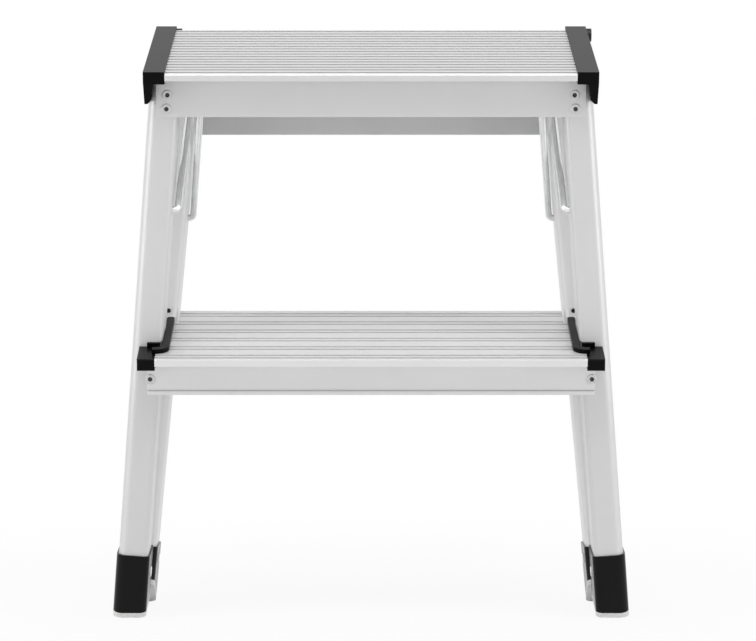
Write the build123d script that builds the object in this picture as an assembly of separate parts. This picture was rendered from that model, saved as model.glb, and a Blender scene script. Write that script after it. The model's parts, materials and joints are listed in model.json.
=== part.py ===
"""Folding two-step stool, folded shut and standing on its feet.

Everything is drawn for the open stool: platform level, floor at z = 0, the front nose of the
platform at y = 0 and the rear toward +y. The rear frame is then swung in about its hinge, and the
folded stool is tipped forward until the front edges of the front soles and the rear edges of the
rear soles stand on the floor together.
"""
import os
from math import acos, atan2, cos, degrees, hypot, radians, sin, tan

from build123d import *

# Platform
platform_width = 390.0
platform_depth = 180.0
platform_height = 480.0
cap_width = 18.5
cap_height = 10.8
cap_proud = 1.5
skirt_drop = 31.0
skirt_width = 9.0
skirt_wall = 3.5
skirt_gap = 0.5
skirt_inset = 0.5
skirt_rake = 12.0
skirt_leg_clear = 1.2
skirt_tail = 16.0
skirt_corner = 4.0
skirt_bevel = 2.7
cap_nose_wall = 4.0
cap_side_wall = 2.0
cap_roof = 2.0
cap_rear_length = 52.0
leg_slot_front = 6.0
leg_slot_rear = 9.2
leg_slot_depth = 3.0
leg_pocket_front = 2.0
deck_gauge = 2.5
deck_inset = 10.0
deck_edge = 1.5
nose_drop = 6.5
groove_count = 17
groove_width = 3.0
groove_depth = 1.0
flange_drop = 20.0
sheet = 2.0
apron_drop = 44.0
apron_reach = 5.36
apron_cap_gap = 1.0
rib_insets = (40.0, 75.0)
rib_drop = 9.0
rib_end_inset = 26.5
nose_overhang = 28.0

# Legs
leg_width = 26.0
leg_depth = 50.0
leg_wall = 1.6
leg_round_outer = 8.0
leg_round_inner = 4.5
front_lean = 10.0
front_splay = 0.077
front_leg_inset = 18.25
rear_lean = 22.5
rear_splay = 0.0937
rear_leg_set_in = 13.15
rear_leg_offset = 12.0
rear_leg_start = 30.0

# Hinge of the rear frame
hinge_inset = 4.5
hinge_drop = 7.2
pin_radius = 2.5
pin_head_radius = 6.0
cap_boss_radius = 6.5
cap_boss_lead = 2.0
pin_head_thick = 5.0
running_fit = 0.05
lug_radius = 4.6
lug_thick = 7.5
lug_slack = 0.5
lug_inset = 5.5
lug_root = 3.0
lug_flare = 6.0
plug_length = 30.0
bridge_thick = 6.0
bridge_inset = 3.0
bridge_front = 21.0
bridge_rear = 3.0
feet_gap = 1.33

# Lower step
step_height = 238.2
step_overhang = 36.5
step_depth = 137.5
step_nose_round = 0.8
step_leg_gap = 1.5
step_rear_inset = 8.5
step_nose_reach = 6.0
step_lip_gap = 0.6
step_apron_inset = 12.5
step_notch_back = 15.0
step_apron_drop = 41.2
step_flange_drop = 22.0
step_groove_count = 6
step_groove_pitch = 23.4
step_groove_margin = 8.5
groove_pair_gap = 7.0
groove_margin = 5.0
step_rib_insets = (34.0, 66.0)
step_rib_drop = 10.0
bead_proud = 1.5
bead_height = 3.2
bead_edge = 0.6
bead_sink = 0.2
bead_end_inset = 1.0

# End caps of the lower step
block_width = 15.3
block_drop = 10.6
block_round = 1.5
strip_width = 6.8
strip_height = 4.0
strip_lead = 17.5
strip_bend = 8.0
strip_reach = 71.2
strip_end_round = 2.7
cap_lap = 3.0
tab_width = 11.5
tab_thick = 3.0

# Feet
shell_wall = 1.8
shell_slip = 0.3
shell_height = 54.0
sole_thick = 4.0
shell_floor = 4.0

# Rivets and bumpers
rivet_radius = 2.4
rivet_head_radius = 4.5
rivet_head_thick = 1.0
rivet_core_radius = 2.0
rivet_core_depth = 3.0
rivet_length = 6.0
rivet_edge = 0.5
rivet_bore = 10.0
rivet_leg_inset = 3.0
step_rivet_inset = 4.5
platform_rivet_drops = (25.4, 37.2)
step_rivet_drop = 28.0
foot_rivet_rise = 31.0
rivet_slip = 0.1
rivet_seat = 0.02
bumper_radius = 2.0
bumper_thick = 1.4
bumper_along = 249.5
bumper_inset = 5.0

# Spreader rods
rod_radius = 3.0
rod_bend = 4.0
front_pivot_inset = 20.83
front_pivot_drop = 129.5
rear_pivot_offset = 5.0
rear_pivot_along = 166.0
spreader_slack = 0.5
boss_radius = 4.8
boss_thick = 9.6
boss_set_in = 19.6
boss_gap = 0.3
boss_leg_gap = 9.42
hook_inset = 4.6
hook_end = 2.0

# Rear top panel
panel_leg_gap = 3.0
panel_height = 57.0
panel_reach = 4.0
panel_lip = 9.0
lip_leg_gap = 6.7
panel_rivet_inset = 15.0

# Longer than the stool, for cuts that pass through it, and a small overlap for joins and cuts
FAR = 700.0
past = 1.0

deck_rear = platform_depth - deck_inset
hinge_y = platform_depth - hinge_inset
deck_top = platform_height - cap_proud
deck_under = deck_top - deck_gauge
half_deck = platform_width / 2 - cap_width
front_leg_x = platform_width / 2 - front_leg_inset
rear_leg_x = front_leg_x - rear_leg_set_in
lean = radians(front_lean)
open_lean = radians(rear_lean)


def yz_prism(points, x0, x1):
    """Side profile (y, z) run from x0 to x1."""
    face = make_face(Polyline(*points, close=True))
    return extrude(Plane.YZ.offset(x0) * face, amount=x1 - x0)


def block(x0, x1, y0, y1, z0, z1):
    return Pos((x0 + x1) / 2, (y0 + y1) / 2, (z0 + z1) / 2) * Box(x1 - x0, y1 - y0, z1 - z0)


def x_rod(radius, x0, x1, y, z):
    return Pos((x0 + x1) / 2, y, z) * Rot(0, 90, 0) * Cylinder(radius, x1 - x0)


def tube_section(grow):
    """Leg outline, softer on the outer side, grown by a margin."""
    outline = Rectangle(leg_width + 2 * grow, leg_depth + 2 * grow)
    sides = outline.vertices().group_by(Axis.X)
    outline = fillet(sides[-1], leg_round_outer + grow)
    sides = outline.vertices().group_by(Axis.X)
    return fillet(sides[0], leg_round_inner + grow)


def leg_prism(frame, grow, low, high):
    """Leg outline run along the leg, from low to high above its reference point."""
    return extrude(frame.offset(low) * tube_section(grow), amount=high - low)


def front_stock(grow):
    """Front leg outline, longer than the leg at both ends."""
    return leg_prism(front_frame, grow, -FAR, leg_depth)


def over(solid, height):
    return solid & block(-FAR, FAR, -FAR, FAR, height, FAR)


def between(solid, low, high):
    return solid & block(-FAR, FAR, -FAR, FAR, low, high)


def leg_face_y(z):
    """Front face of the front legs."""
    return nose_overhang - (platform_height - z) * tan(lean)


def front_leg_mid_x(z):
    return front_leg_x + (platform_height - z) * front_splay


def rear_point(offset, along):
    """Side-view point of the open rear leg: forward of and along from the hinge."""
    y = hinge_y - offset * cos(open_lean) + along * sin(open_lean)
    z = hinge_z - offset * sin(open_lean) - along * cos(open_lean)
    return y, z


def rear_leg_mid_x(along):
    return rear_leg_x + along * rear_splay


hinge_z = platform_height - hinge_drop
front_frame = Plane(
    origin=(front_leg_x, nose_overhang + leg_depth / 2 / cos(lean), platform_height),
    x_dir=(1 + tan(lean) ** 2, tan(lean) * front_splay, front_splay),
    z_dir=(-front_splay, tan(lean), 1),
)
rear_origin = rear_point(rear_leg_offset, 0)
rear_frame = Plane(
    origin=(rear_leg_x, rear_origin[0], rear_origin[1]),
    x_dir=(1, -rear_splay * sin(open_lean), rear_splay * cos(open_lean)),
    z_dir=(-rear_splay, -sin(open_lean), cos(open_lean)),
)


def solid_rivet(seat, lift):
    """Rivet whose head faces along the seat's normal, lifted off the seat by a hair."""
    top = lift + rivet_head_thick
    outline = Polyline(
        (0, -rivet_length),
        (rivet_radius, -rivet_length),
        (rivet_radius, lift),
        (rivet_head_radius, lift),
        (rivet_head_radius, top - rivet_edge),
        (rivet_head_radius - rivet_edge, top),
        (0, top),
        close=True,
    )
    return seat.location * revolve(Plane.XZ * make_face(outline), Axis.Z)


def blind_rivet(seat):
    """Rivet that is hollow where its mandrel broke off."""
    core = Pos(0, 0, rivet_head_thick - rivet_core_depth / 2) * Cylinder(rivet_core_radius, rivet_core_depth)
    return solid_rivet(seat, 0) - seat.location * core


def rivet_hole(seat):
    """Clearance hole for a rivet through the sheet at its seat and the leg wall behind it."""
    return seat.location * Pos(0, 0, past - rivet_bore / 2) * Cylinder(rivet_radius + rivet_slip, rivet_bore)


def foot_side(frame, along, sign):
    """Outer face of a foot shell, at the middle of its side; sign is the side it faces."""
    reach = sign * (leg_width / 2 + shell_wall)
    return Plane(
        origin=frame.origin + frame.z_dir * along + frame.x_dir * reach,
        x_dir=frame.y_dir,
        z_dir=frame.x_dir * sign,
    )


# Platform extrusion
apron_foot = platform_height - apron_drop
apron_gauge = sheet / cos(lean)
platform_profile = [
    (deck_edge, deck_top),
    (deck_rear, deck_top),
    (deck_rear, deck_top - flange_drop),
    (deck_rear - sheet, deck_top - flange_drop),
    (deck_rear - sheet, deck_under),
    (leg_face_y(deck_under), deck_under),
    (leg_face_y(apron_foot), apron_foot),
    (leg_face_y(apron_foot) - apron_gauge, apron_foot),
    (leg_face_y(deck_under) - apron_gauge, deck_under),
    (sheet, deck_under),
    (sheet, deck_top - nose_drop),
    (0, deck_top - nose_drop),
    (0, deck_top - deck_edge),
]
platform = yz_prism(platform_profile, -half_deck, half_deck)
apron_top = platform_height - cap_height - apron_cap_gap
apron_half_width = front_leg_mid_x(apron_foot) + apron_reach
apron_profile = [
    (leg_face_y(apron_top), apron_top),
    (leg_face_y(apron_foot), apron_foot),
    (leg_face_y(apron_foot) - apron_gauge, apron_foot),
    (leg_face_y(apron_top) - apron_gauge, apron_top),
]
platform += yz_prism(apron_profile, -apron_half_width, apron_half_width)
groove_pitch = (deck_rear - 2 * groove_margin) / (groove_count - 1)
for i in range(groove_count):
    y = groove_margin + i * groove_pitch
    platform -= block(-FAR, FAR, y - groove_width / 2, y + groove_width / 2, deck_top - groove_depth, FAR)
rib_end = half_deck - rib_end_inset
for inset in rib_insets:
    y = deck_rear - inset
    platform += block(-rib_end, rib_end, y - sheet / 2, y + sheet / 2, deck_under - rib_drop, deck_under)
flange_clear = half_deck - leg_width
for sign in (-1, 1):
    near, far = sorted((sign * flange_clear, sign * half_deck))
    platform -= block(near, far, deck_rear - sheet - past, deck_rear + past, 0, deck_under)

# Front legs
leg_floor = sole_thick + shell_floor
front_leg = between(front_stock(0) - front_stock(-leg_wall), leg_floor, deck_under)

# Platform rivets and their holes

def apron_seat(z, inset):
    """Front of the apron at height z, a little inside the middle of the leg behind it."""
    return Plane(
        origin=(front_leg_mid_x(z) - inset, leg_face_y(z) - apron_gauge, z),
        x_dir=(1, 0, 0),
        z_dir=(0, -cos(lean), sin(lean)),
    )


platform_rivets = []
for drop in platform_rivet_drops:
    seat = apron_seat(platform_height - drop, rivet_leg_inset)
    platform -= rivet_hole(seat)
    platform -= mirror(rivet_hole(seat), about=Plane.YZ)
    front_leg -= rivet_hole(seat)
    platform_rivets.append(blind_rivet(seat))

# Platform end cap with the skirt over the leg and the fork for the hinge lug
cap_in = half_deck
cap_out = platform_width / 2
cap_low = platform_height - cap_height
lug_in = cap_in + lug_inset
lug_out = lug_in + lug_thick
leg_back = nose_overhang + leg_depth / cos(lean)
cap = block(cap_in, cap_out, 0, platform_depth, cap_low, platform_height)
cap += x_rod(cap_boss_radius, cap_in, cap_out, hinge_y - cap_boss_lead, hinge_z)
skirt_foot = platform_height - skirt_drop
skirt_top = cap_low + past
skirt_rear = leg_back + skirt_leg_clear
skirt_side = [
    (skirt_inset, skirt_top),
    (skirt_rake, skirt_foot),
    (skirt_rear, skirt_foot),
    (skirt_rear + skirt_tail, skirt_top),
]
skirt_front = [
    (cap_out, skirt_top),
    (cap_out - skirt_width, skirt_top),
    (cap_out - skirt_width + skirt_bevel, skirt_foot + skirt_corner),
    (cap_out - skirt_bevel, skirt_foot),
    (cap_out, skirt_foot),
]
skirt = extrude(Plane.XZ * make_face(Polyline(*skirt_front, close=True)), amount=-platform_depth)
cap += skirt & yz_prism(skirt_side, cap_out - skirt_width, cap_out)
hollow_in = cap_in + cap_side_wall
hollow_rear = platform_depth - cap_rear_length
slot_front = nose_overhang - leg_slot_front
slot_rear = leg_back + leg_slot_rear
cap -= block(hollow_in, cap_out - skirt_wall, nose_overhang + leg_pocket_front, hollow_rear, 0, deck_under)
cap -= block(hollow_in, cap_out - skirt_width - skirt_gap, cap_nose_wall, hollow_rear, 0, deck_under)
cap -= block(cap_in - past, cap_in + leg_slot_depth, slot_front, slot_rear, 0, deck_under)
cap -= block(cap_in - past, lug_in, 0, hollow_rear, 0, cap_low)
cap -= block(lug_in - lug_slack, lug_out + lug_slack, hollow_rear, FAR, 0, platform_height - cap_roof)
cap = cap & block(0, FAR, -FAR, platform_depth, 0, platform_height)
cap -= x_rod(pin_radius + running_fit, cap_in - past, cap_out + past, hinge_y, hinge_z)
cap -= between(front_stock(shell_slip), 0, deck_under)


def hinge_pin(head_x, tip_x):
    """Pin whose large head sits at head_x and whose tip is flush at tip_x."""
    way = 1 if head_x > tip_x else -1
    low, high = sorted((head_x, tip_x))
    low_head, high_head = sorted((head_x, head_x + way * pin_head_thick))
    pin = x_rod(pin_radius, low, high, hinge_y, hinge_z)
    return pin + x_rod(pin_head_radius, low_head, high_head, hinge_y, hinge_z)


hinge_pin_right = hinge_pin(cap_out, cap_in)
hinge_pin_left = hinge_pin(-cap_in, -cap_out)

# Lower step extrusion
step_leg_x = front_leg_mid_x(step_height)
step_half_width = step_leg_x - leg_width / 2 - step_leg_gap
step_rear_half_width = step_half_width - step_rear_inset
step_nose_half_width = step_half_width + step_nose_reach
step_apron_half_width = step_leg_x + leg_width / 2 - step_apron_inset
step_face = leg_face_y(step_height)
step_nose = step_face - step_overhang
step_rear = step_nose + step_depth
step_notch = step_face + leg_depth / cos(lean) + step_notch_back
step_under = step_height - deck_gauge
step_foot = step_height - step_apron_drop
step_flange = step_height - step_flange_drop
lower_step = block(-step_half_width, step_half_width, step_nose, step_notch, step_under, step_height)
lower_step += block(-step_nose_half_width, step_nose_half_width, step_nose,
                    leg_face_y(step_under) - step_lip_gap, step_under, step_height)
lower_step += block(-step_rear_half_width, step_rear_half_width, step_nose, step_rear,
                    step_under, step_height)
lower_step += block(-step_nose_half_width, step_nose_half_width, step_nose, step_nose + sheet,
                    step_height - nose_drop, step_height)
nose_edge = lower_step.edges().filter_by(Axis.X).group_by(Axis.Y)[0].sort_by(Axis.Z)[-1]
lower_step = fillet(nose_edge, step_nose_round)
lower_step += block(-step_rear_half_width, step_rear_half_width, step_rear - sheet, step_rear,
                    step_flange, step_height)
lower_step += yz_prism(
    [
        (leg_face_y(step_under), step_under),
        (leg_face_y(step_foot), step_foot),
        (leg_face_y(step_foot) - apron_gauge, step_foot),
        (leg_face_y(step_under) - apron_gauge, step_under),
    ],
    -step_apron_half_width,
    step_apron_half_width,
)
bead_root = leg_face_y(step_foot) - apron_gauge
bead_top = step_foot + bead_height + bead_edge
bead_end = step_apron_half_width - bead_end_inset
lower_step += yz_prism(
    [
        (bead_root + bead_sink, step_foot),
        (bead_root - bead_proud, step_foot),
        (bead_root - bead_proud + bead_edge, step_foot + bead_height),
        (leg_face_y(bead_top) - apron_gauge + bead_sink, bead_top),
    ],
    -bead_end,
    bead_end,
)
for i in range(step_groove_count):
    for shift in (0, groove_pair_gap):
        y = step_rear - step_groove_margin - i * step_groove_pitch - shift
        lower_step -= block(-FAR, FAR, y - groove_width / 2, y + groove_width / 2,
                            step_height - groove_depth, step_height + past)
for inset in step_rib_insets:
    y = step_rear - inset
    lower_step += block(-step_rear_half_width, step_rear_half_width, y - sheet / 2, y + sheet / 2,
                        step_under - step_rib_drop, step_under)

# Lower step rivets
seat = apron_seat(step_height - step_rivet_drop, step_rivet_inset)
lower_step -= rivet_hole(seat)
lower_step -= mirror(rivet_hole(seat), about=Plane.YZ)
front_leg -= rivet_hole(seat)
step_rivet = blind_rivet(seat)

# Lower step end cap: corner block in front of the leg and a raised rim that runs back along its inner side
block_in = step_nose_half_width
block_out = block_in + block_width
block_back = leg_face_y(step_height - block_drop) - apron_gauge - shell_slip
tread_back = step_face - shell_slip
step_cap = block(block_in, block_out, step_nose, block_back, step_height - block_drop, step_height)
front_edges = step_cap.edges().filter_by(Axis.X).group_by(Axis.Y)[0]
step_cap = fillet(front_edges + step_cap.edges().filter_by(Axis.Z).group_by(Axis.Y)[0], block_round)
step_cap += block(block_in, block_out, block_back - past, tread_back, step_under + shell_slip, step_height)
rim_x = step_leg_x - leg_width / 2 - strip_width / 2
rim_y = step_face - strip_lead
rim_path = FilletPolyline(
    (block_in + cap_lap, rim_y),
    (rim_x, rim_y),
    (rim_x, step_face + strip_reach),
    radius=strip_bend,
)
rim = extrude(Plane.XY.offset(step_height) * trace(rim_path, strip_width), amount=strip_height)
rim = fillet(rim.edges().filter_by(Axis.Z).group_by(Axis.Y)[-1], strip_end_round)
step_cap += rim
tab_in = block_in - cap_lap
step_cap += block(tab_in, tab_in + tab_width, tread_back - tab_thick, tread_back,
                  step_height - past, step_height + strip_height)
step_cap -= front_stock(shell_slip)
step_cap -= block(0, block_in, -FAR, FAR, 0, step_height)


def foot(frame, top):
    """Foot shell and sole round the lower end of a leg; top is where the shell ends along the leg."""
    outer = leg_prism(frame, shell_wall, -FAR, top)
    inner = leg_prism(frame, shell_slip, -FAR, top + past)
    shell = over(outer, sole_thick) - over(inner, leg_floor)
    return shell, between(outer, 0, sole_thick)


# Front feet with a rivet through each side
front_reach = platform_height / cos(lean)
front_shell, front_sole = foot(front_frame, shell_height - front_reach - leg_depth * tan(lean) / 2)
front_foot_rivets = []
for sign in (-1, 1):
    seat = foot_side(front_frame, foot_rivet_rise - front_reach, sign)
    front_shell -= rivet_hole(seat)
    front_leg -= rivet_hole(seat)
    front_foot_rivets.append(solid_rivet(seat, rivet_seat))

# Front link pivot hole
front_pivot_z = platform_height - front_pivot_drop
front_pivot_y = leg_face_y(front_pivot_z) + front_pivot_inset
front_leg -= x_rod(rod_radius + running_fit, 0, front_leg_mid_x(front_pivot_z), front_pivot_y, front_pivot_z)

# Rear legs, feet and hinge heads, drawn open
above_rear_leg = yz_prism(
    [
        rear_point(FAR, -FAR),
        rear_point(-FAR, -FAR),
        rear_point(-FAR, rear_leg_start),
        rear_point(FAR, rear_leg_start),
    ],
    -FAR,
    FAR,
)
rear_leg = leg_prism(rear_frame, 0, -FAR, 0) - leg_prism(rear_frame, -leg_wall, -FAR, past)
rear_leg = over(rear_leg, leg_floor) - above_rear_leg
rear_reach = (hinge_z - rear_leg_offset * sin(open_lean)) / cos(open_lean)
rear_shell, rear_sole = foot(rear_frame, shell_height - rear_reach - leg_depth * tan(open_lean) / 2)
rear_foot_rivets = []
for sign in (-1, 1):
    seat = foot_side(rear_frame, foot_rivet_rise - rear_reach, sign)
    rear_shell -= rivet_hole(seat)
    rear_leg -= rivet_hole(seat)
    rear_foot_rivets.append(solid_rivet(seat, rivet_seat))

bridge_low = rear_leg_start - bridge_thick
bridge_fore = rear_leg_offset + bridge_front
head_plug = leg_prism(rear_frame, -leg_wall - shell_slip, -rear_leg_start - plug_length, 0) - above_rear_leg
head_bridge = yz_prism(
    [
        rear_point(bridge_fore, bridge_low),
        rear_point(-bridge_rear, bridge_low),
        rear_point(-bridge_rear, rear_leg_start),
        rear_point(bridge_fore, rear_leg_start),
    ],
    rear_leg_mid_x(rear_leg_start) - leg_width / 2 + bridge_inset,
    lug_out,
)
head_lug = yz_prism(
    [
        rear_point(lug_radius, 0),
        rear_point(-lug_radius, 0),
        rear_point(-lug_radius, bridge_low + lug_root),
        rear_point(lug_radius + lug_flare, bridge_low + lug_root),
    ],
    lug_in,
    lug_out,
)
hinge_head = head_plug + head_bridge + head_lug + x_rod(lug_radius, lug_in, lug_out, hinge_y, hinge_z)
hinge_head -= x_rod(pin_radius + running_fit, lug_in - past, lug_out + past, hinge_y, hinge_z)

# Rear top panel across the outer faces of the rear legs, turned in along its upper edge
panel_back = rear_leg_offset - leg_depth / 2
panel_top = rear_leg_start + panel_leg_gap
panel_foot = panel_top + panel_height
panel_half_width = rear_leg_mid_x(panel_foot) + panel_reach
lip_half_width = rear_leg_mid_x(panel_top) - leg_width / 2 - lip_leg_gap
rear_panel = yz_prism(
    [
        rear_point(panel_back, panel_top),
        rear_point(panel_back - sheet, panel_top),
        rear_point(panel_back - sheet, panel_foot),
        rear_point(panel_back, panel_foot),
    ],
    -panel_half_width,
    panel_half_width,
)
rear_panel += yz_prism(
    [
        rear_point(panel_back + panel_lip, panel_top),
        rear_point(panel_back - sheet / 2, panel_top),
        rear_point(panel_back - sheet / 2, panel_top + sheet),
        rear_point(panel_back + panel_lip, panel_top + sheet),
    ],
    -lip_half_width,
    lip_half_width,
)
rear_panel_rivets = []
for along in (panel_top + panel_rivet_inset, panel_foot - panel_rivet_inset):
    seat = Plane(
        origin=(rear_leg_mid_x(along), *rear_point(panel_back - sheet, along)),
        x_dir=(1, 0, 0),
        z_dir=(0, cos(open_lean), sin(open_lean)),
    )
    rear_panel -= rivet_hole(seat)
    rear_panel -= mirror(rivet_hole(seat), about=Plane.YZ)
    rear_leg -= rivet_hole(seat)
    hinge_head -= rivet_hole(seat)
    rear_panel_rivets.append(blind_rivet(seat))

# Bumper on the front face of the rear leg
bumper_y, bumper_z = rear_point(rear_leg_offset + leg_depth / 2, bumper_along)
bumper_seat = Plane(
    origin=(rear_leg_mid_x(bumper_along) - bumper_inset, bumper_y, bumper_z),
    x_dir=(1, 0, 0),
    z_dir=(0, -cos(open_lean), -sin(open_lean)),
)
bumper = extrude(bumper_seat * Circle(bumper_radius), amount=bumper_thick)

# Rear link pivot hole
rear_pivot_open = rear_point(rear_pivot_offset, rear_pivot_along)
rear_pivot_x = rear_leg_mid_x(rear_pivot_along)
rear_leg -= x_rod(rod_radius + running_fit, 0, rear_pivot_x, *rear_pivot_open)


def rear_floor_y(offset):
    """Where a line down the open rear leg, forward of the hinge by offset, meets the floor."""
    along = (hinge_z - offset * sin(open_lean)) / cos(open_lean)
    return rear_point(offset, along)[0]


# The fold ends where the toes of the rear soles come up to the backs of the front feet
shell_half = leg_depth / 2 + shell_wall
toe_y = rear_floor_y(rear_leg_offset + shell_half)
heel_y = rear_floor_y(rear_leg_offset - shell_half)
toe_reach = hypot(toe_y - hinge_y, hinge_z)
foot_back = leg_depth + shell_wall
hinge_stand_off = (hinge_y - nose_overhang) * cos(lean) + hinge_drop * sin(lean) - foot_back
toe_turn = acos((feet_gap - hinge_stand_off) / toe_reach)
fold_angle = degrees(toe_turn + lean - atan2(hinge_z, toe_y - hinge_y))


def folded_point(y, z):
    """Side-view point of the rear frame after it is swung in."""
    turn = radians(fold_angle)
    dy, dz = y - hinge_y, z - hinge_z
    return hinge_y + dy * cos(turn) + dz * sin(turn), hinge_z - dy * sin(turn) + dz * cos(turn)


# Spreader: two rods that lie in line when the stool is open. Folded, they stand up to a middle joint that
# stays clear of the rear leg: it lies on a line along the leg, where their lengths still add up.
rear_pivot = folded_point(*rear_pivot_open)
span = hypot(rear_pivot_open[0] - front_pivot_y, rear_pivot_open[1] - front_pivot_z) + spreader_slack
folded_lean = radians(fold_angle) - open_lean
along_y, along_z = sin(folded_lean), cos(folded_lean)
joint_offset = rear_leg_offset + leg_depth / 2 + boss_leg_gap + boss_radius
line_y, line_z = folded_point(*rear_point(joint_offset, rear_pivot_along))
from_rear = (line_y - rear_pivot[0], line_z - rear_pivot[1])
from_front = (line_y - front_pivot_y, line_z - front_pivot_z)
rear_run = from_rear[0] * along_y + from_rear[1] * along_z
front_run = from_front[0] * along_y + from_front[1] * along_z
rod_start = (span + (hypot(*from_rear) ** 2 - hypot(*from_front) ** 2) / span) / 2
rod_rate = (rear_run - front_run) / span
square_term = 1 - rod_rate ** 2
half_term = rear_run - rod_start * rod_rate
free_term = hypot(*from_rear) ** 2 - rod_start ** 2
rise = (-half_term + (half_term ** 2 - square_term * free_term) ** 0.5) / square_term
middle_y = line_y + along_y * rise
middle_z = line_z + along_z * rise


def link_rod(hook_x, pivot_x, pivot_y, pivot_z, boss_mid_x):
    """Bent rod: hook into the leg, run to the middle joint, ending in a flat round boss."""
    path = FilletPolyline(
        (hook_x, pivot_y, pivot_z),
        (pivot_x, pivot_y, pivot_z),
        (boss_mid_x, middle_y, middle_z),
        radius=rod_bend,
    )
    start = Plane(origin=(hook_x, pivot_y, pivot_z), x_dir=(0, 1, 0), z_dir=(-1, 0, 0))
    rod = sweep(start * Circle(rod_radius), path=path)
    boss_in = boss_mid_x - boss_thick / 2
    return rod + x_rod(boss_radius, boss_in, boss_in + boss_thick, middle_y, middle_z)


boss_face_x = front_leg_x - boss_set_in
front_hook_x = front_leg_mid_x(front_pivot_z) - hook_end
front_face_x = front_leg_mid_x(front_pivot_z) - leg_width / 2
front_link = link_rod(front_hook_x, front_face_x - hook_inset, front_pivot_y, front_pivot_z,
                      boss_face_x + (boss_gap + boss_thick) / 2)
rear_hook_x = rear_pivot_x - hook_end
rear_link = link_rod(rear_hook_x, rear_pivot_x - leg_width / 2 - hook_inset, rear_pivot[0], rear_pivot[1],
                     boss_face_x - (boss_gap + boss_thick) / 2)

# Fold the rear frame in, then tip the folded stool onto its feet
hinge_axis = Axis((0, hinge_y, hinge_z), (1, 0, 0))
front_edge_y = leg_face_y(0) - shell_wall / cos(lean)
rear_edge = folded_point(heel_y, 0)
tip_angle = degrees(atan2(-rear_edge[1], rear_edge[0] - front_edge_y))
stance = Axis((0, front_edge_y, 0), (1, 0, 0))


def folded(solid):
    return solid.rotate(hinge_axis, -fold_angle)


def placed(solid):
    return Pos(0, stance_shift, 0) * solid.rotate(stance, tip_angle)


def both(solid):
    return solid, mirror(solid, about=Plane.YZ)


def group(solids):
    pieces = []
    for solid in solids:
        pieces.extend(both(solid))
    return Compound(children=[Solid(piece.solid().wrapped) for piece in pieces])


stance_shift = 0.0
nodes = {"platform": platform, "lower_step": lower_step}
pairs = {
    "platform_cap": cap,
    "front_leg": front_leg,
    "step_cap": step_cap,
    "front_foot": front_shell,
    "front_sole": front_sole,
    "rear_leg": folded(rear_leg),
    "hinge_head": folded(hinge_head),
    "rear_foot": folded(rear_shell),
    "rear_sole": folded(rear_sole),
    "front_link": front_link,
    "rear_link": rear_link,
}
for name, solid in pairs.items():
    nodes[name + "_right"], nodes[name + "_left"] = both(solid)
nodes["hinge_pin_right"] = hinge_pin_right
nodes["hinge_pin_left"] = hinge_pin_left
nodes["rear_panel"] = folded(rear_panel)
nodes["platform_rivets"] = group(platform_rivets)
nodes["step_rivets"] = group([step_rivet])
nodes["front_foot_rivets"] = group(front_foot_rivets)
nodes["rear_foot_rivets"] = group([folded(r) for r in rear_foot_rivets])
nodes["rear_panel_rivets"] = group([folded(r) for r in rear_panel_rivets])
nodes["bumpers"] = group([folded(bumper)])

# Centre the stance under the folded stool
boxes = [placed(solid).bounding_box() for solid in nodes.values()]
stance_shift = -(min(b.min.Y for b in boxes) + max(b.max.Y for b in boxes)) / 2

os.makedirs("parts", exist_ok=True)
for name, solid in nodes.items():
    export_step(placed(solid), f"parts/{name}.step")
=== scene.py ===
import json
import math

import bpy
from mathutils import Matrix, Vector


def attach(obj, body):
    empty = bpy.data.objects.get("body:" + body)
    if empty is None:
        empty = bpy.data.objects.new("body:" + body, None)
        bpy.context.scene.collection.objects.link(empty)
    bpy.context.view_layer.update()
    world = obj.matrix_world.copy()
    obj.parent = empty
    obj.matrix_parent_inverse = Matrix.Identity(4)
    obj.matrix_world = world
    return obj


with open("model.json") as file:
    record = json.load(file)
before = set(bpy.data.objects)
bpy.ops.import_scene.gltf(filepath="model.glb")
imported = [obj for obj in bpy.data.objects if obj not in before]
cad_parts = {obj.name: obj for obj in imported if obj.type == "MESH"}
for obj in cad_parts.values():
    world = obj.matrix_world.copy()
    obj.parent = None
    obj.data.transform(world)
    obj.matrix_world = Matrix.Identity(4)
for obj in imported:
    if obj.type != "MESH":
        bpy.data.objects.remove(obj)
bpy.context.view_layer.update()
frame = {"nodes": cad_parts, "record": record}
nodes = frame["nodes"]
record = frame["record"]
scene = bpy.context.scene

# Photograph and camera
photo_width = 756
optical_axis_px = 371.0
sensor_mm = 36.0
lens_mm = 146.3
camera_place = (0.0, -2.7225, 0.3829)
camera_pitch_deg = 2.544
camera_reach = 60.0

# Studio surround: how much light falls on the stool from each direction
front_level = 0.06
side_level = 0.40
top_level = 0.35
back_level = 1.0
back_dark_below = -0.12
back_full_above = -0.02
white_level = 1.0

# Lamps, all aimed at the middle of the stool
stool_middle = Vector((0.0, 0.0, 0.26))
strip_place = Vector((1.6, -0.7, 0.3))
strip_size = (0.7, 2.4)
strip_watts = 15.0
overhead_place = Vector((0.0, -1.25, 2.25))
overhead_size = (1.8, 1.2)
overhead_watts = 19.0
fill_place = Vector((0.0, -3.2, 0.4))
fill_size = (2.0, 1.0)
fill_watts = 3.0

# Floor: near the stool it keeps a share of its own shading, far off it is plain white
floor_size = 40.0
floor_drop = 0.0005
floor_tone = 0.9
floor_rough = 0.9
fade_start = 0.25
fade_end = 0.9
white_share_near = 0.88
white_share_far = 1.0

# Draw lines and clouds of the satin aluminium
draw_line_scale = 700.0
draw_line_stretch = 0.6
draw_line_strength = 0.02
draw_line_relief = 0.00005
satin_cloud_scale = 9.0
satin_cloud_depth = 0.03
satin_metallic = 0.25
satin_rough = (0.40, 0.45)

# Grain of the plastics and small metal pieces
plastic_cloud_scale = 30.0
grain_strength = 0.05
grain_relief = 0.0001

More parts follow.
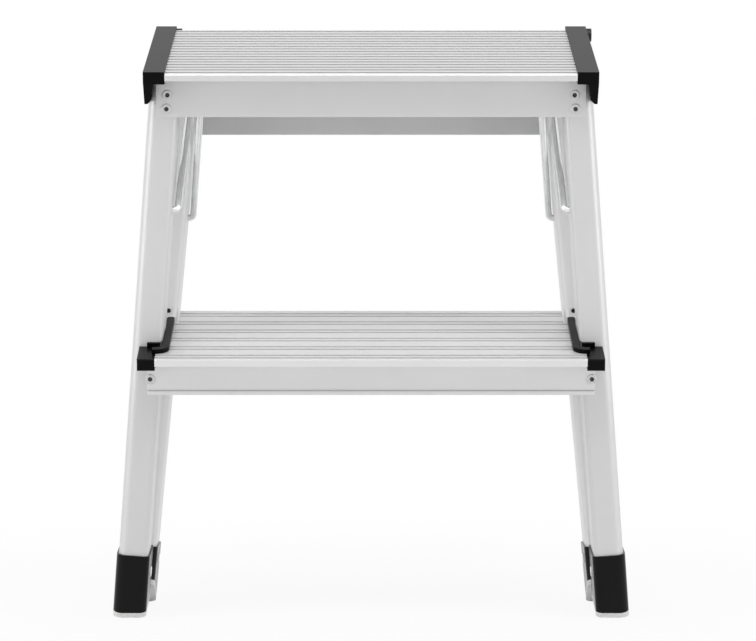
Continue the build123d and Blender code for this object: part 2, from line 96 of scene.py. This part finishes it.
# Noise: its detail, and the band that holds most of its values
noise_detail = 2.0
noise_low = 0.3
noise_high = 0.7

# Sockets of a colour Mix node
mix_share = 0
mix_first = 6
mix_second = 7
mix_result = 2

# Axes of a piece that its draw lines may follow
across = 0
upright = 2

# Grooves of the treads, and the crease over the bead at the foot of the lower apron, where shade is
# painted into the metal's colour
groove_depth = 0.001
groove_edge = 0.00015
nose_clear = 0.003
bead_height = 0.0032
crease_below = 0.0003
crease_above = 0.0009
crease_reach = 0.003
# Painted shade: the darker tones laid into the grooves and the crease
platform_groove_shade_tone = 0.47
step_groove_shade_tone = 0.66
crease_shade_tone = 0.66

# Broken-off mandrels in the blind rivets
mandrel_radius = 0.00185
mandrel_length = 0.0016
mandrel_sides = 32
mandrel_edge = 0.0002
mandrel_edge_steps = 2
mandrel_rim = 0.0005
mandrel_dish = 0.0004
mandrel_smooth_deg = 35.0
hollow_depth = 0.0015
rivet_spacing = 0.005

# Least cosine between a face and the way that it is taken to face
rivet_face_cosine = 0.999
mandrel_end_cosine = 0.99

# Stance: the lean and splay of the open stool's legs, then the tip and fold of the stool at rest
front_lean_deg = 10.0
front_leg_splay_deg = 4.4
rear_lean_deg = 22.5
rear_leg_splay_deg = 5.3
deck = next(mount for mount in record["mounts"] if mount["name"] == "platform_top")
tread_tip_deg = math.degrees(math.atan2(-deck["axis"][1], deck["axis"][2]))
hinge = next(joint for joint in record["behaviour"]["joints"] if joint["name"] == "rear_fold")
fold_deg = max(hinge["range_deg"])
front_leg_slant_deg = tread_tip_deg - front_lean_deg
panel_slant_deg = fold_deg - rear_lean_deg - tread_tip_deg


def node_tree(name):
    """New material with its tree and its one principled shader."""
    material = bpy.data.materials.new(name)
    material.use_nodes = True
    tree = material.node_tree
    return material, tree, tree.nodes["Principled BSDF"]


def add(tree, kind, **settings):
    """New node with its settings."""
    node = tree.nodes.new(kind)
    for key, value in settings.items():
        setattr(node, key, value)
    return node


def feed(tree, value, socket):
    """Feed a socket from another socket, or set it to a plain value."""
    if isinstance(value, bpy.types.NodeSocket):
        tree.links.new(value, socket)
    else:
        socket.default_value = value


def maths(tree, operation, *values):
    """Result of one operation on sockets and numbers."""
    node = add(tree, "ShaderNodeMath", operation=operation)
    for value, socket in zip(values, node.inputs):
        feed(tree, value, socket)
    return node.outputs[0]


def ranged(tree, value, start, end, low, high, **settings):
    """Value that goes from low to high while the given one goes from start to end."""
    change = add(tree, "ShaderNodeMapRange", **settings)
    change.inputs["From Min"].default_value = start
    change.inputs["From Max"].default_value = end
    change.inputs["To Min"].default_value = low
    change.inputs["To Max"].default_value = high
    tree.links.new(value, change.inputs["Value"])
    return change.outputs["Result"]


def spread(tree, noise, low, high):
    """Noise stretched to lie between two values."""
    return ranged(tree, noise, noise_low, noise_high, low, high)


def opaque(colour):
    """Colour with the full alpha that a colour socket wants."""
    return (*colour, 1.0)


def grey(tone):
    """Neutral colour of one tone."""
    return opaque((tone, tone, tone))


def mixed(tree, share, first, second):
    """Colour that goes from the first to the second as the share goes from zero to one."""
    blend = add(tree, "ShaderNodeMix", data_type="RGBA")
    feed(tree, share, blend.inputs[mix_share])
    feed(tree, first, blend.inputs[mix_first])
    feed(tree, second, blend.inputs[mix_second])
    return blend.outputs[mix_result]


def bumped(tree, shader, height, strength, relief):
    """Fine relief on the shader's surface."""
    bump = add(tree, "ShaderNodeBump")
    bump.inputs["Strength"].default_value = strength
    bump.inputs["Distance"].default_value = relief
    tree.links.new(height, bump.inputs["Height"])
    tree.links.new(bump.outputs[0], shader.inputs["Normal"])


def mirrored_place(tree):
    """Object coordinates with the left half folded onto the right, so both sides share one pattern."""
    parts = add(tree, "ShaderNodeSeparateXYZ")
    joined = add(tree, "ShaderNodeCombineXYZ")
    tree.links.new(add(tree, "ShaderNodeTexCoord").outputs["Object"], parts.inputs[0])
    tree.links.new(maths(tree, "ABSOLUTE", parts.outputs["X"]), joined.inputs["X"])
    tree.links.new(parts.outputs["Y"], joined.inputs["Y"])
    tree.links.new(parts.outputs["Z"], joined.inputs["Z"])
    return joined.outputs[0]


def turned(tree, place, turn_deg):
    """Place in the axes of a piece that is turned by these angles."""
    turn = add(tree, "ShaderNodeMapping", vector_type="TEXTURE")
    turn.inputs["Rotation"].default_value = [math.radians(angle) for angle in turn_deg]
    tree.links.new(place, turn.inputs["Vector"])
    return turn.outputs[0]


def stretched_noise(tree, place, scales):
    """Noise with a scale of its own along each axis."""
    stretch = add(tree, "ShaderNodeMapping", vector_type="POINT")
    stretch.inputs["Scale"].default_value = scales
    noise = add(tree, "ShaderNodeTexNoise")
    noise.inputs["Scale"].default_value = 1.0
    noise.inputs["Detail"].default_value = noise_detail
    tree.links.new(place, stretch.inputs["Vector"])
    tree.links.new(stretch.outputs[0], noise.inputs["Vector"])
    return noise.outputs["Fac"]


def even_noise(tree, place, scale):
    """Noise with one scale along all axes."""
    return stretched_noise(tree, place, (scale, scale, scale))


def background_rays(tree):
    """One on the rays that see the white background: from the camera, off metal or through glass."""
    seen = add(tree, "ShaderNodeLightPath")
    bounced = maths(tree, "MAXIMUM", seen.outputs["Is Glossy Ray"], seen.outputs["Is Transmission Ray"])
    return maths(tree, "MAXIMUM", seen.outputs["Is Camera Ray"], bounced)


def tread_points(node):
    """Points of a tread as (depth, height) pairs, in the tipped axes of the tread."""
    tip = math.radians(tread_tip_deg)
    up = Vector((0, -math.sin(tip), math.cos(tip)))
    back = Vector((0, math.cos(tip), math.sin(tip)))
    return [(vertex.co.dot(back), vertex.co.dot(up)) for vertex in node.data.vertices]


def groove_limits(node):
    """Space of the grooves: just under the top face, behind the rounded nose, where painted shade darkens
    the metal.
    """
    points = tread_points(node)
    top = max(height for depth, height in points)
    nose = min(depth for depth, height in points if top - height < groove_depth)
    return (
        ("GREATER_THAN", "Z", top - groove_depth - groove_edge),
        ("LESS_THAN", "Z", top - groove_edge),
        ("GREATER_THAN", "Y", nose + nose_clear),
    )


def crease_limits(node):
    """Space of the crease where the front face of the apron meets the top of its bead, where a shadow
    line is painted.
    """
    points = tread_points(node)
    foot = min(height for depth, height in points)
    front = min(depth for depth, height in points if height - foot < bead_height)
    return (
        ("GREATER_THAN", "Z", foot + bead_height - crease_below),
        ("LESS_THAN", "Z", foot + bead_height + crease_above),
        ("LESS_THAN", "Y", front + crease_reach),
    )


def inside_limits(tree, place, limits):
    """One inside all the limits, where painted shade darkens the metal, and zero elsewhere."""
    parts = add(tree, "ShaderNodeSeparateXYZ")
    tree.links.new(place, parts.inputs[0])
    inside = 1.0
    for operation, axis, limit in limits:
        within = maths(tree, operation, parts.outputs[axis], limit)
        inside = maths(tree, "MULTIPLY", inside, within)
    return inside


def extruded_aluminium(name, turn_deg, along, tone, painted_shade_spaces=()):
    """Satin aluminium with the fine draw lines of an extrusion, which run along one axis of the piece,
    and painted shade in the given spaces.
    """
    material, tree, shader = node_tree(name)
    place = turned(tree, mirrored_place(tree), turn_deg)
    line_scales = [draw_line_scale, draw_line_scale, draw_line_scale]
    line_scales[along] = draw_line_stretch
    lines = stretched_noise(tree, place, line_scales)
    cloud = spread(tree, even_noise(tree, place, satin_cloud_scale), 0.0, 1.0)
    colour = mixed(tree, cloud, grey(tone - satin_cloud_depth), grey(tone))
    # Painted shade: a darker tone mixed in over each given space
    for limits, shade_tone in painted_shade_spaces:
        colour = mixed(tree, inside_limits(tree, place, limits), colour, grey(shade_tone))
    tree.links.new(colour, shader.inputs["Base Color"])
    shader.inputs["Metallic"].default_value = satin_metallic
    tree.links.new(spread(tree, lines, *satin_rough), shader.inputs["Roughness"])
    bumped(tree, shader, lines, draw_line_strength, draw_line_relief)
    return material


def moulded_plastic(name, dark, pale, rough, grain, gloss):
    """Moulded plastic or rubber with a fine spark-eroded grain."""
    material, tree, shader = node_tree(name)
    place = mirrored_place(tree)
    texture = even_noise(tree, place, grain)
    cloud = spread(tree, even_noise(tree, place, plastic_cloud_scale), 0.0, 1.0)
    tree.links.new(mixed(tree, cloud, opaque(dark), opaque(pale)), shader.inputs["Base Color"])
    tree.links.new(spread(tree, texture, *rough), shader.inputs["Roughness"])
    shader.inputs["Specular IOR Level"].default_value = gloss
    bumped(tree, shader, texture, grain_strength, grain_relief)
    return material


def plain_metal(name, dark, pale, rough, grain, metallic):
    """Metal of the small pieces: rods, pins and rivets."""
    material, tree, shader = node_tree(name)
    texture = even_noise(tree, mirrored_place(tree), grain)
    cloud = spread(tree, texture, 0.0, 1.0)
    tree.links.new(mixed(tree, cloud, opaque(dark), opaque(pale)), shader.inputs["Base Color"])
    shader.inputs["Metallic"].default_value = metallic
    tree.links.new(spread(tree, texture, *rough), shader.inputs["Roughness"])
    bumped(tree, shader, texture, grain_strength, grain_relief)
    return material


# Finishes
tread_turn = (tread_tip_deg, 0, 0)
# The aluminium parts are one metal: their different tones are painted light and shade, each part set
# lighter or darker to make up for how the lamps fall on it
platform_metal = extruded_aluminium(
    "platform aluminium", tread_turn, along=across, tone=0.735,
    painted_shade_spaces=[(groove_limits(nodes["platform"]), platform_groove_shade_tone)])
step_metal = extruded_aluminium(
    "lower step aluminium", tread_turn, along=across, tone=0.82,
    painted_shade_spaces=[(groove_limits(nodes["lower_step"]), step_groove_shade_tone),
           (crease_limits(nodes["lower_step"]), crease_shade_tone)])
front_leg_metal = extruded_aluminium(
    "front leg aluminium", (front_leg_slant_deg, -front_leg_splay_deg, 0), along=upright, tone=0.69)
rear_leg_metal = extruded_aluminium(
    "rear leg aluminium", (-panel_slant_deg, -rear_leg_splay_deg, 0), along=upright, tone=0.79)
panel_metal = extruded_aluminium("rear panel aluminium", (0, 0, 0), along=across, tone=0.67)
black_plastic = moulded_plastic(
    "black plastic", dark=(0.0018, 0.0018, 0.002), pale=(0.0035, 0.0035, 0.0038),
    rough=(0.26, 0.36), grain=1400.0, gloss=0.07)
foot_plastic = moulded_plastic(
    "foot plastic", dark=(0.0018, 0.0018, 0.002), pale=(0.0035, 0.0035, 0.0038),
    rough=(0.18, 0.25), grain=1400.0, gloss=0.15)
grey_rubber = moulded_plastic(
    "grey rubber", dark=(0.68, 0.68, 0.67), pale=(0.76, 0.76, 0.75),
    rough=(0.6, 0.8), grain=900.0, gloss=0.3)
black_rubber = moulded_plastic(
    "black rubber", dark=(0.008, 0.008, 0.008), pale=(0.014, 0.014, 0.014),
    rough=(0.6, 0.8), grain=900.0, gloss=0.3)
rod_steel = plain_metal(
    "bright rod steel", dark=(0.78, 0.79, 0.80), pale=(0.88, 0.89, 0.90),
    rough=(0.14, 0.24), grain=60.0, metallic=0.6)
pin_steel = plain_metal(
    "blackened pin steel", dark=(0.03, 0.03, 0.032), pale=(0.06, 0.06, 0.063),
    rough=(0.35, 0.50), grain=200.0, metallic=1.0)
mandrel_steel = plain_metal(
    "dull mandrel steel", dark=(0.06, 0.06, 0.061), pale=(0.10, 0.10, 0.102),
    rough=(0.45, 0.60), grain=900.0, metallic=0.3)
foot_rivet_metal = plain_metal(
    "bright rivet aluminium", dark=(0.78, 0.78, 0.78), pale=(0.88, 0.88, 0.88),
    rough=(0.30, 0.42), grain=300.0, metallic=0.35)
# Painted shade: the blind rivets' heads are a darker copy of the foot rivets' aluminium, standing for the
# shade on and around them
blind_rivet_metal = plain_metal(
    "dull rivet aluminium with painted shade", dark=(0.62, 0.62, 0.62), pale=(0.72, 0.72, 0.72),
    rough=(0.36, 0.48), grain=300.0, metallic=0.35)

finish_of = {
    "platform": platform_metal,
    "lower_step": step_metal,
    "front_leg": front_leg_metal,
    "rear_leg": rear_leg_metal,
    "rear_panel": panel_metal,
    "platform_cap": black_plastic,
    "step_cap": black_plastic,
    "front_foot": foot_plastic,
    "rear_foot": foot_plastic,
    "hinge_head": black_plastic,
    "front_sole": grey_rubber,
    "rear_sole": grey_rubber,
    "bumpers": black_rubber,
    "front_link": rod_steel,
    "rear_link": rod_steel,
    "hinge_pin": pin_steel,
    "platform_rivets": blind_rivet_metal,
    "step_rivets": blind_rivet_metal,
    "rear_panel_rivets": blind_rivet_metal,
    "front_foot_rivets": foot_rivet_metal,
    "rear_foot_rivets": foot_rivet_metal,
}
for name, node in nodes.items():
    kind = name.removesuffix("_left").removesuffix("_right")
    node.data.materials.clear()
    node.data.materials.append(finish_of[kind])


def hollow_floors(node, facing):
    """Middles of the floors of the hollows in a node's rivets, whose heads all face one way."""
    fronts = [face for face in node.data.polygons if face.normal.dot(facing) > rivet_face_cosine]
    middles = []
    for face in fronts:
        near = [other for other in fronts if (other.center - face.center).length < rivet_spacing]
        head = max(other.center.dot(facing) for other in near)
        if head - face.center.dot(facing) < hollow_depth:
            continue
        corners = [node.data.vertices[i].co for other in near for i in other.vertices
                   if head - other.center.dot(facing) > hollow_depth]
        middle = sum(corners, Vector()) / len(corners)
        if all((middle - known).length > rivet_spacing for known in middles):
            middles.append(middle)
    return middles


def select_end(mesh):
    """From object mode, enter edit mode with only the level faces on top selected."""
    for part in (*mesh.vertices, *mesh.edges, *mesh.polygons):
        part.select = False
    for face in mesh.polygons:
        if face.normal.z > mandrel_end_cosine:
            face.select = True
            for i in face.vertices:
                mesh.vertices[i].select = True
    bpy.ops.object.mode_set(mode="EDIT")
    bpy.ops.mesh.select_mode(type="FACE")


def mandrel_stub():
    """One mandrel stub, standing on the origin: a short round peg with a soft rim and a dished end."""
    bpy.ops.object.select_all(action="DESELECT")
    bpy.ops.mesh.primitive_cylinder_add(
        vertices=mandrel_sides, radius=mandrel_radius, depth=mandrel_length,
        location=(0, 0, mandrel_length / 2))
    stub = bpy.context.object
    bpy.ops.object.transform_apply(location=True, rotation=True, scale=True)
    select_end(stub.data)
    bpy.ops.mesh.bevel(offset=mandrel_edge, segments=mandrel_edge_steps, affect="EDGES")
    bpy.ops.object.mode_set(mode="OBJECT")
    select_end(stub.data)
    bpy.ops.mesh.inset(thickness=mandrel_rim)
    bpy.ops.transform.translate(value=(0, 0, -mandrel_dish))
    bpy.ops.object.mode_set(mode="OBJECT")
    bpy.ops.object.shade_smooth_by_angle(angle=math.radians(mandrel_smooth_deg))
    stub.data.materials.append(mandrel_steel)
    return stub


# A copy of the stub in the hollow of each blind rivet
stub = mandrel_stub()
front_slant = math.radians(front_leg_slant_deg)
rear_slant = math.radians(panel_slant_deg)
front_facing = Vector((0, -math.cos(front_slant), -math.sin(front_slant)))
rear_facing = Vector((0, math.cos(rear_slant), -math.sin(rear_slant)))
blind_rivets = {
    "platform_rivets": (front_facing, "front_frame"),
    "step_rivets": (front_facing, "front_frame"),
    "rear_panel_rivets": (rear_facing, "rear_frame"),
}
for name, (facing, body) in blind_rivets.items():
    for count, middle in enumerate(hollow_floors(nodes[name], facing)):
        mandrel = stub.copy()
        mandrel.data = stub.data.copy()
        mandrel.name = f"{name}_mandrel_{count}"
        scene.collection.objects.link(mandrel)
        bpy.ops.object.select_all(action="DESELECT")
        mandrel.select_set(True)
        bpy.context.view_layer.objects.active = mandrel
        mandrel.rotation_mode = "QUATERNION"
        mandrel.rotation_quaternion = facing.to_track_quat("Z", "Y")
        mandrel.location = middle
        bpy.ops.object.transform_apply(location=True, rotation=True, scale=True)
        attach(mandrel, body)
bpy.data.objects.remove(stub)


def floor_paint():
    """Pale paint that is white to the camera and in reflections, and keeps some shadow near the stool."""
    material, tree, shader = node_tree("pale floor")
    shader.inputs["Base Color"].default_value = grey(floor_tone)
    shader.inputs["Roughness"].default_value = floor_rough
    shader.inputs["Specular IOR Level"].default_value = 0.0
    white = add(tree, "ShaderNodeEmission")
    white.inputs["Strength"].default_value = white_level
    away = add(tree, "ShaderNodeVectorMath", operation="LENGTH")
    tree.links.new(add(tree, "ShaderNodeTexCoord").outputs["Object"], away.inputs[0])
    fade = ranged(tree, away.outputs["Value"], fade_start, fade_end, white_share_near, white_share_far,
                  interpolation_type="SMOOTHSTEP")
    paint = add(tree, "ShaderNodeMixShader")
    tree.links.new(maths(tree, "MULTIPLY", background_rays(tree), fade), paint.inputs[0])
    tree.links.new(shader.outputs[0], paint.inputs[1])
    tree.links.new(white.outputs[0], paint.inputs[2])
    tree.links.new(paint.outputs[0], tree.nodes["Material Output"].inputs["Surface"])
    return material


# Floor
bpy.ops.object.select_all(action="DESELECT")
bpy.ops.mesh.primitive_plane_add(size=floor_size, location=(0, 0, -floor_drop))
floor = bpy.context.object
floor.name = "floor"
floor.data.materials.append(floor_paint())


def studio_surround():
    """Surround that lights the stool mostly from behind, the sides and above, and looks white."""
    world = bpy.data.worlds.new("studio")
    world.use_nodes = True
    tree = world.node_tree
    sky = tree.nodes["Background"]
    sky.inputs["Color"].default_value = grey(white_level)
    way = add(tree, "ShaderNodeSeparateXYZ")
    tree.links.new(add(tree, "ShaderNodeTexCoord").outputs["Generated"], way.inputs[0])
    sideways = way.outputs["X"]
    upward = maths(tree, "MAXIMUM", way.outputs["Z"], 0.0)
    backward = maths(tree, "MAXIMUM", way.outputs["Y"], 0.0)
    horizon = ranged(tree, way.outputs["Z"], back_dark_below, back_full_above, 0.0, 1.0)
    directions = (
        (maths(tree, "MULTIPLY", sideways, sideways), side_level),
        (maths(tree, "MULTIPLY", upward, upward), top_level),
        (maths(tree, "MULTIPLY", backward, horizon), back_level),
    )
    level = front_level
    for share, full_level in directions:
        level = maths(tree, "MULTIPLY_ADD", share, full_level, level)
    backdrop = add(tree, "ShaderNodeMix", data_type="FLOAT")
    backdrop.inputs["B"].default_value = white_level
    tree.links.new(background_rays(tree), backdrop.inputs["Factor"])
    tree.links.new(level, backdrop.inputs["A"])
    tree.links.new(backdrop.outputs["Result"], sky.inputs["Strength"])
    return world


def soft_box(name, place, size, watts):
    """Wide soft lamp, aimed at the middle of the stool."""
    data = bpy.data.lights.new(name, "AREA")
    data.shape = "RECTANGLE"
    data.size, data.size_y = size
    data.energy = watts
    lamp = bpy.data.objects.new(name, data)
    scene.collection.objects.link(lamp)
    lamp.location = place
    lamp.rotation_euler = (stool_middle - place).to_track_quat("-Z", "Y").to_euler()
    return lamp


# Soft light
scene.world = studio_surround()
soft_box("left strip", strip_place * Vector((-1, 1, 1)), strip_size, strip_watts)
soft_box("right strip", strip_place, strip_size, strip_watts)
soft_box("overhead", overhead_place, overhead_size, overhead_watts)
fill = soft_box("front fill", fill_place, fill_size, fill_watts)
fill.visible_glossy = False

# Camera
camera_data = bpy.data.cameras.new("camera")
camera_data.lens = lens_mm
camera_data.sensor_width = sensor_mm
camera_data.shift_x = (photo_width / 2 - optical_axis_px) / photo_width
camera_data.clip_end = camera_reach
camera = bpy.data.objects.new("camera", camera_data)
scene.collection.objects.link(camera)
camera.location = camera_place
camera.rotation_euler = (math.radians(90.0 - camera_pitch_deg), 0, 0)
scene.camera = camera
scene.view_settings.view_transform = "Standard"
